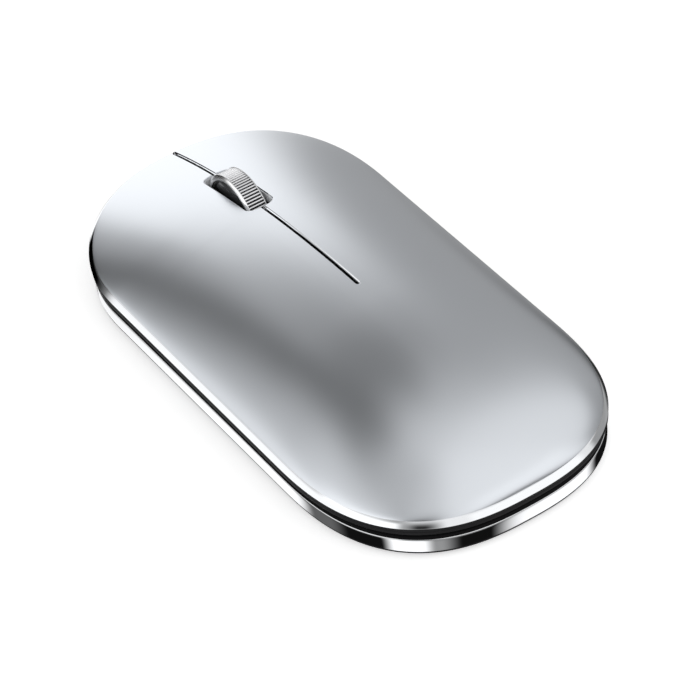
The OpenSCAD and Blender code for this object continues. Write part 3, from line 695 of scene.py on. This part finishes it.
# Section of a foot: share of the half width, and height.
FOOT_SECTION = [(-1, 0.58), (-1, 0.16), (-0.97, 0.07), (-0.9, 0.015), (-0.84, 0.0), (0.84, 0.0), (0.9, 0.015),
                (0.97, 0.07), (1, 0.16), (1, 0.58)]
# Ridged block: share of its length and how large its section is there, then its ridges and its corners.
SLAB_ENDS = ((0, 0.94), (0.03, 0.975), (0.09, 1.0), (0.91, 1.0), (0.97, 0.975), (1, 0.94))
RIDGE_STEPS, RIDGE_ROUND, SLAB_CORNER = 12, 0.7, 0.1
# Face of the dished button: share of the radius, and how far in.
BUTTON_FACE = [(0.0, 0.16), (0.3, 0.15), (0.55, 0.11), (0.74, 0.05), (0.84, 0.01), (0.9, 0.0), (0.95, 0.02),
               (0.985, 0.07), (1.0, 0.16)]
# The bezel: half sizes of the opening, three points of a bevelled corner, and (growth, z) of its section.
OPENING = (4.48, 3.48)
CORNER = ((0, 0.6), (0.18, 0.18), (0.6, 0))
BEZEL_SECTION = ((0.0, 0.62), (0.0, 0.72), (-0.08, 0.8), (-0.75, 1.35), (-0.85, 1.5), (-0.85, 1.62),
                 (-0.04, 1.62), (-0.04, 0.62))


def box_mm(node):
    return [[c / MM for c in corner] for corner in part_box(node)]


def glide_foot(name, end, first_turn):
    """Low-friction strip that follows the footprint round one end, with half-round ends; first_turn is how
    far from the side it begins, in radians."""
    turns = end * (first_turn + (math.pi / 2 - first_turn) * np.linspace(0, 1, 160) ** 1.3)
    right = [np.array(edge_point(t, FOOT_INSET)) for t in turns]
    path = right + [p * (-1, 1) for p in right[-2::-1]]
    turns = list(turns) + list(turns[-2::-1])
    run = np.concatenate([[0], np.cumsum([np.linalg.norm(b - a) for a, b in zip(path, path[1:])])])
    rows = []
    for k, (turn, at) in enumerate(zip(turns, run)):
        tip = min(1.0, max(0.02, min(at, run[-1] - at) / FOOT_HALF))
        reach = FOOT_HALF * math.sqrt(1 - (1 - tip) ** 2)
        row = []
        for across, z in FOOT_SECTION:
            x, y = edge_point(turn, FOOT_INSET - across * reach)
            row.append((x if k < len(right) else -x, y, z))
        rows.append(row)
    foot = loft(name, rows, [0] * len(FOOT_SECTION), [GLIDE], cap_kind=0)
    drop_slivers(foot)
    return foot


def ridged_slab(name, node, ridges, depth, margin, mat):
    """Block that fills a CAD node's box, with rounded ridges across its underside."""
    low, high = box_mm(node)
    base, top = low[2] + depth, high[2]
    left, right = low[0] + margin, high[0] - margin
    outline = [(low[0], top), (low[0], base + SLAB_CORNER), (low[0] + SLAB_CORNER, base)]
    for k in range(ridges * RIDGE_STEPS + 1):
        wave = (0.5 - 0.5 * math.cos(2 * math.pi * k / RIDGE_STEPS)) ** RIDGE_ROUND
        outline.append((left + (right - left) * k / (ridges * RIDGE_STEPS), low[2] + depth * (1 - wave)))
    outline += [(high[0] - SLAB_CORNER, base), (high[0], base + SLAB_CORNER), (high[0], top)]
    middle = (low[0] + high[0]) / 2
    rows = []
    for along, share in SLAB_ENDS:
        y = low[1] + (high[1] - low[1]) * along
        rows.append([(middle + (x - middle) * share, y, top + (z - top) * share) for x, z in outline])
    return loft(name, rows, [0] * len(outline), [mat], cap_kind=0)


def dished_button(name, node):
    low, high = box_mm(node)
    cx, cy, radius = (low[0] + high[0]) / 2, (low[1] + high[1]) / 2, (high[0] - low[0]) / 2
    height, steps = high[2] - low[2], 72
    section = BUTTON_FACE + [(1.0, height), (0.0, height)]
    rows = []
    for k in range(steps):
        a = 2 * math.pi * k / steps
        rows.append([(cx + radius * share * math.cos(a), cy + radius * share * math.sin(a), low[2] + z)
                     for share, z in section])
    button = loft(name, rows, [0] * len(section), [KNOB], closed=True)
    drop_slivers(button)
    return button


def window_bezel(name):
    """Bevelled frame in the opening of the bottom plate that the sensor looks through."""
    low, high = box_mm("sensor_chip")
    cy = (low[1] + high[1]) / 2
    rows = []
    for grow, z in BEZEL_SECTION:
        row = []
        for side, end, order in ((1, 1, 1), (-1, 1, -1), (-1, -1, 1), (1, -1, -1)):
            for cut_x, cut_y in CORNER[::order]:
                row.append((side * (OPENING[0] + grow - cut_x), cy + end * (OPENING[1] + grow - cut_y), z))
        rows.append(row)
    return loft(name, rows, [0] * len(rows[0]), [BASE], closed=True)


UNDERSIDE = (       # each piece with the node that it replaces, its slot and its body
    (glide_foot("rounded_front_foot", 1, 0.29), "front_foot", "glide_foot", "base"),
    (glide_foot("rounded_rear_foot", -1, 0.62), "rear_foot", "glide_foot", "base"),
    (ridged_slab("ridged_power_knob", "power_knob", 4, 0.22, 0.3, KNOB),
     "power_knob", "knob_grey", "power_slider"),
    (dished_button("dished_mode_button", "mode_button"), "mode_button", "knob_grey", "mode_key"),
    (ridged_slab("ridged_receiver_body", "receiver_body", 9, 0.18, 2.6, SWITCH),
     "receiver_body", None, "receiver"),
)
for piece, node, slot, body in UNDERSIDE:
    shared_normals([piece])
    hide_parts(node)
    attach(piece, body)
bezel = window_bezel("sensor_window_bezel")
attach(bezel, "base")

# ---- CAD nodes that stay: procedural finish and softened edges ----

SOFT_EDGES = {      # width of the softened edge in millimetres
    "bottom_plate": 0.15, "mid_frame": 0.1, "receiver_plug": 0.15, "usb_c_port": 0.05, "wheel_cradle": 0.12,
    "cradle_bracket": 0.12, "scroll_encoder": 0.12, "left_switch": 0.15, "right_switch": 0.15,
    "middle_switch": 0.1, "battery": 0.5, "controller_chip": 0.04, "sensor_chip": 0.08, "case_screws": 0.06,
}
for part in frame["record"]["subparts"]:
    node = frame["nodes"][part["node"]]
    node.data.materials.clear()
    node.data.materials.append(SLOTS[part["material_slot"]])
    if part["node"] in SOFT_EDGES:
        bevel = node.modifiers.new("edge", "BEVEL")
        bevel.width = SOFT_EDGES[part["node"]] * MM
        bevel.segments = 2
        bevel.limit_method = "ANGLE"
        bevel.angle_limit = math.radians(40)

# ---- Floor, light and camera ----

FLOOR_HALF, FLOOR_Z = 3000, -0.02
FLOOR_GREY, FLOOR_ROUGH, FLOOR_GLOW = 0.9, 0.9, 0.55


def pale_floor():
    mat = bpy.data.materials.new("pale_floor")
    mat.use_nodes = True
    shader = mat.node_tree.nodes["Principled BSDF"]
    shader.inputs["Base Color"].default_value = (FLOOR_GREY, FLOOR_GREY, FLOOR_GREY, 1)
    shader.inputs["Roughness"].default_value = FLOOR_ROUGH
    shader.inputs["Emission Color"].default_value = (1, 1, 1, 1)
    shader.inputs["Emission Strength"].default_value = FLOOR_GLOW
    corners = [(x * FLOOR_HALF, y * FLOOR_HALF, FLOOR_Z) for x, y in ((-1, -1), (1, -1), (1, 1), (-1, 1))]
    obj = mesh_object("floor", corners, [(0, 1, 2, 3)], [0], [mat])
    obj.visible_glossy = False
    return obj


floor = pale_floor()

# Soft light from all round: each panel is (azimuth, elevation, half width, half height, softness) in
# degrees and a brightness; azimuth 0 is straight in front of the mouse and 90 is to its right. A later
# panel lies over an earlier one. Those below the horizon show mostly in the ring and the polished edge.
WORLD_GREY = 0.42
PANELS = [
    (180, 90, 360, 22, 30, 0.70),
    (165, 38, 50, 48, 30, 0.95),
    (103, 42, 25, 38, 25, 0.88),
    (-75, 28, 32, 18, 22, 0.75),
    (-115, 62, 30, 14, 20, 0.52),
    (-138, 44, 14, 34, 18, 0.68),
    (-10, 61, 50, 12, 16, 0.14),
    (-30, 25, 10, 42, 12, 0.09),
    (14, 4, 18, 30, 14, 1.30),
    (52, -5, 10, 60, 14, 0.37),
    (94, 3, 20, 11, 8, 0.34),
    (-92, 8, 28, 20, 10, 1.25),
    (-62, 3, 20, 12, 8, 1.12),
    (155, 19, 28, 14, 8, 1.10),
    (-139, 12, 12, 18, 20, 0.02),
    (-18, -16, 16, 20, 8, 0.0),
    (72, -27, 25, 13, 10, 0.03),
    (115, -24, 25, 9, 10, 0.04),
    (175, -17, 45, 7, 8, 0.13),
    (-80, -22, 40, 9, 8, 0.55),
    (0, -62, 360, 24, 5, 0.006),
    (-50, -46, 12, 10, 16, 0.13),
    (-12, -46, 26, 10, 12, 1.15),
    (-152, -46, 11, 11, 20, 0.33),
    (-124, -46, 19, 11, 14, 1.30),
    (127, -46, 28, 11, 22, 1.30),
]


def studio_world():
    """World that paints PANELS one over another on WORLD_GREY."""
    world = bpy.data.worlds.new("studio")
    world.use_nodes = True
    nt = world.node_tree
    n, link = nt.nodes, nt.links.new

    def math_node(operation, *inputs):
        node = n.new("ShaderNodeMath")
        node.operation = operation
        for socket, value in zip(node.inputs, inputs):
            if isinstance(value, (int, float)):
                socket.default_value = value
            else:
                link(value, socket)
        return node.outputs[0]

    def inside(angle, half, soft):
        ramp = n.new("ShaderNodeMapRange")
        ramp.interpolation_type = "SMOOTHSTEP"
        ramp.inputs["From Min"].default_value = half + soft / 2
        ramp.inputs["From Max"].default_value = half - soft / 2
        link(angle, ramp.inputs["Value"])
        return ramp.outputs["Result"]

    coord, axes = n.new("ShaderNodeTexCoord"), n.new("ShaderNodeSeparateXYZ")
    link(coord.outputs["Generated"], axes.inputs[0])
    azimuth = math_node("DEGREES", math_node("ARCTAN2", axes.outputs[0], axes.outputs[1]))
    elevation = math_node("DEGREES", math_node("ARCSINE", axes.outputs[2]))
    light = WORLD_GREY
    for az, el, wide, high, soft, level in PANELS:
        turn = math_node("ABSOLUTE", math_node("WRAP", math_node("SUBTRACT", azimuth, az), 180, -180))
        rise = math_node("ABSOLUTE", math_node("SUBTRACT", elevation, el))
        cover = math_node("MULTIPLY", inside(turn, wide, soft), inside(rise, high, soft))
        light = math_node("ADD", math_node("MULTIPLY", light, math_node("SUBTRACT", 1.0, cover)),
                          math_node("MULTIPLY", cover, level))
    link(light, n["Background"].inputs["Color"])
    return world


bpy.context.scene.world = studio_world()

# The camera looks at a point near the mouse's middle. Lengths are in millimetres. The view's turn round the
# mouse, its height and its roll are in degrees.
CAMERA_TURN, CAMERA_HEIGHT, CAMERA_ROLL = -29.0955, 40.9647, -7.0649
CAMERA_DISTANCE, CAMERA_LENS, SENSOR_WIDTH = 607.1207, 178.0993, 36
AIM, AIM_RIGHT, AIM_DOWN = (0, 3.968, 0.6), 3.1762, 2.186


def add_camera():
    turn, height, roll = (math.radians(a) for a in (CAMERA_TURN, CAMERA_HEIGHT, CAMERA_ROLL))
    back = Vector((math.sin(turn) * math.cos(height), -math.cos(turn) * math.cos(height), math.sin(height)))
    level = Vector((math.cos(turn), math.sin(turn), 0))
    up = back.cross(level)
    right = math.cos(roll) * level + math.sin(roll) * up
    above = -math.sin(roll) * level + math.cos(roll) * up
    place = (Vector(AIM) + right * AIM_RIGHT - above * AIM_DOWN + back * CAMERA_DISTANCE) * MM
    camera = bpy.data.objects.new("camera", bpy.data.cameras.new("camera"))
    bpy.context.scene.collection.objects.link(camera)
    camera.matrix_world = Matrix([[right[i], above[i], back[i], place[i]] for i in range(3)] + [[0, 0, 0, 1]])
    camera.data.sensor_width = SENSOR_WIDTH
    camera.data.lens = CAMERA_LENS
    camera.data.clip_start, camera.data.clip_end = 0.05, 20
    return camera


bpy.context.scene.camera = add_camera()
bpy.context.scene.view_settings.view_transform = "Standard"
